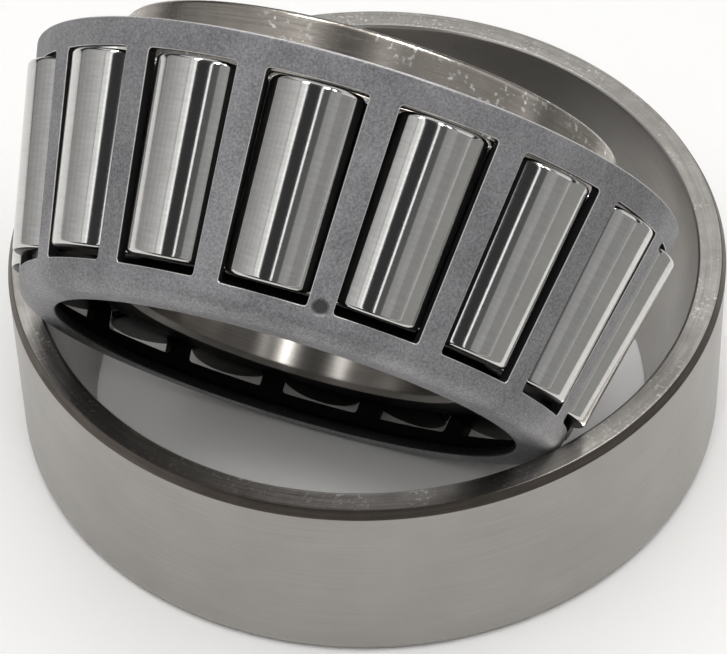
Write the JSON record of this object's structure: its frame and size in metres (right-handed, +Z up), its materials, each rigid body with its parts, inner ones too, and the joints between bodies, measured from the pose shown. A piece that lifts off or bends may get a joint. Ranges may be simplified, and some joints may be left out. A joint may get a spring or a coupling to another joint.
{
  "type": "tapered roller bearing",
  "caption": "Single-row tapered roller bearing with its cone assembly lifted out of the outer ring and leaning in it.",
  "frame": {"origin": "centre of the outer ring's back face, which lies on the ground", "axes": "+Z up along the outer ring's axis, +Y towards which the cone assembly leans, +X to the right of that"},
  "size_m": [0.13, 0.13, 0.1136],
  "materials": {
    "outer_ring_steel": "ground bearing steel, satin",
    "inner_ring_steel": "ground bearing steel, satin",
    "cage_steel": "pressed sheet steel, matte phosphated",
    "roller_steel": "superfinished bearing steel, mirror bright"
  },
  "bodies": {
    "outer_ring": {"outer_ring": "outer_ring_steel"},
    "cage": {"cage": "cage_steel"},
    "inner_ring": {"inner_ring": "inner_ring_steel"},
    "roller_01": {"roller_01": "roller_steel"},
    "roller_02": {"roller_02": "roller_steel"},
    "roller_03": {"roller_03": "roller_steel"},
    "roller_04": {"roller_04": "roller_steel"},
    "roller_05": {"roller_05": "roller_steel"},
    "roller_06": {"roller_06": "roller_steel"},
    "roller_07": {"roller_07": "roller_steel"},
    "roller_08": {"roller_08": "roller_steel"},
    "roller_09": {"roller_09": "roller_steel"},
    "roller_10": {"roller_10": "roller_steel"},
    "roller_11": {"roller_11": "roller_steel"},
    "roller_12": {"roller_12": "roller_steel"},
    "roller_13": {"roller_13": "roller_steel"},
    "roller_14": {"roller_14": "roller_steel"},
    "roller_15": {"roller_15": "roller_steel"},
    "roller_16": {"roller_16": "roller_steel"}
  },
  "joints": [
    {"name": "lift_out", "type": "slide", "parent": "outer_ring", "child": "cage", "axis": [0, 0, 1], "range_m": [0, 0.1]},
    {"name": "inner_ring_spin", "type": "hinge", "parent": "cage", "child": "inner_ring", "pos_m": [0, -0.01524, 0.05682], "axis": [0, 0.8517, 0.524], "continuous": true},
    {"name": "roller_01_spin", "type": "hinge", "parent": "cage", "child": "roller_01", "pos_m": [0.04698, -0.01714, 0.04868], "axis": [0.1894, 0.8486, 0.494], "continuous": true},
    {"name": "roller_02_spin", "type": "hinge", "parent": "cage", "child": "roller_02", "pos_m": [0.04113, -0.00795, 0.03376], "axis": [0.1658, 0.8856, 0.4338], "continuous": true},
    {"name": "roller_03_spin", "type": "hinge", "parent": "cage", "child": "roller_03", "pos_m": [0.02902, -0.00064, 0.02187], "axis": [0.117, 0.9151, 0.3859], "continuous": true},
    {"name": "roller_04_spin", "type": "hinge", "parent": "cage", "child": "roller_04", "pos_m": [0.01249, 0.00369, 0.01484], "axis": [0.0504, 0.9325, 0.3576], "continuous": true},
    {"name": "roller_05_spin", "type": "hinge", "parent": "cage", "child": "roller_05", "pos_m": [-0.00594, 0.00437, 0.01373], "axis": [-0.0239, 0.9353, 0.3531], "continuous": true},
    {"name": "roller_06_spin", "type": "hinge", "parent": "cage", "child": "roller_06", "pos_m": [-0.02346, 0.00131, 0.01871], "axis": [-0.0946, 0.9229, 0.3732], "continuous": true},
    {"name": "roller_07_spin", "type": "hinge", "parent": "cage", "child": "roller_07", "pos_m": [-0.03742, -0.00504, 0.02902], "axis": [-0.1508, 0.8974, 0.4147], "continuous": true},
    {"name": "roller_08_spin", "type": "hinge", "parent": "cage", "child": "roller_08", "pos_m": [-0.04568, -0.0137, 0.0431], "axis": [-0.1841, 0.8625, 0.4715], "continuous": true},
    {"name": "roller_09_spin", "type": "hinge", "parent": "cage", "child": "roller_09", "pos_m": [-0.04698, -0.02335, 0.0588], "axis": [-0.1894, 0.8235, 0.5347], "continuous": true},
    {"name": "roller_10_spin", "type": "hinge", "parent": "cage", "child": "roller_10", "pos_m": [-0.04113, -0.03254, 0.07372], "axis": [-0.1658, 0.7865, 0.5949], "continuous": true},
    {"name": "roller_11_spin", "type": "hinge", "parent": "cage", "child": "roller_11", "pos_m": [-0.02902, -0.03985, 0.08561], "axis": [-0.117, 0.7571, 0.6428], "continuous": true},
    {"name": "roller_12_spin", "type": "hinge", "parent": "cage", "child": "roller_12", "pos_m": [-0.01249, -0.04418, 0.09264], "axis": [-0.0504, 0.7396, 0.6711], "continuous": true},
    {"name": "roller_13_spin", "type": "hinge", "parent": "cage", "child": "roller_13", "pos_m": [0.00594, -0.04486, 0.09375], "axis": [0.0239, 0.7369, 0.6756], "continuous": true},
    {"name": "roller_14_spin", "type": "hinge", "parent": "cage", "child": "roller_14", "pos_m": [0.02346, -0.0418, 0.08877], "axis": [0.0946, 0.7492, 0.6556], "continuous": true},
    {"name": "roller_15_spin", "type": "hinge", "parent": "cage", "child": "roller_15", "pos_m": [0.03742, -0.03545, 0.07846], "axis": [0.1508, 0.7748, 0.614], "continuous": true},
    {"name": "roller_16_spin", "type": "hinge", "parent": "cage", "child": "roller_16", "pos_m": [0.04568, -0.02679, 0.06438], "axis": [0.1841, 0.8097, 0.5572], "continuous": true}
  ],
  "couplings": [
    {"joint": "roller_01_spin", "follows": "inner_ring_spin", "ratio": -4.6319},
    {"joint": "roller_02_spin", "follows": "inner_ring_spin", "ratio": -4.6319},
    {"joint": "roller_03_spin", "follows": "inner_ring_spin", "ratio": -4.6319},
    {"joint": "roller_04_spin", "follows": "inner_ring_spin", "ratio": -4.6319},
    {"joint": "roller_05_spin", "follows": "inner_ring_spin", "ratio": -4.6319},
    {"joint": "roller_06_spin", "follows": "inner_ring_spin", "ratio": -4.6319},
    {"joint": "roller_07_spin", "follows": "inner_ring_spin", "ratio": -4.6319},
    {"joint": "roller_08_spin", "follows": "inner_ring_spin", "ratio": -4.6319},
    {"joint": "roller_09_spin", "follows": "inner_ring_spin", "ratio": -4.6319},
    {"joint": "roller_10_spin", "follows": "inner_ring_spin", "ratio": -4.6319},
    {"joint": "roller_11_spin", "follows": "inner_ring_spin", "ratio": -4.6319},
    {"joint": "roller_12_spin", "follows": "inner_ring_spin", "ratio": -4.6319},
    {"joint": "roller_13_spin", "follows": "inner_ring_spin", "ratio": -4.6319},
    {"joint": "roller_14_spin", "follows": "inner_ring_spin", "ratio": -4.6319},
    {"joint": "roller_15_spin", "follows": "inner_ring_spin", "ratio": -4.6319},
    {"joint": "roller_16_spin", "follows": "inner_ring_spin", "ratio": -4.6319}
  ]
}
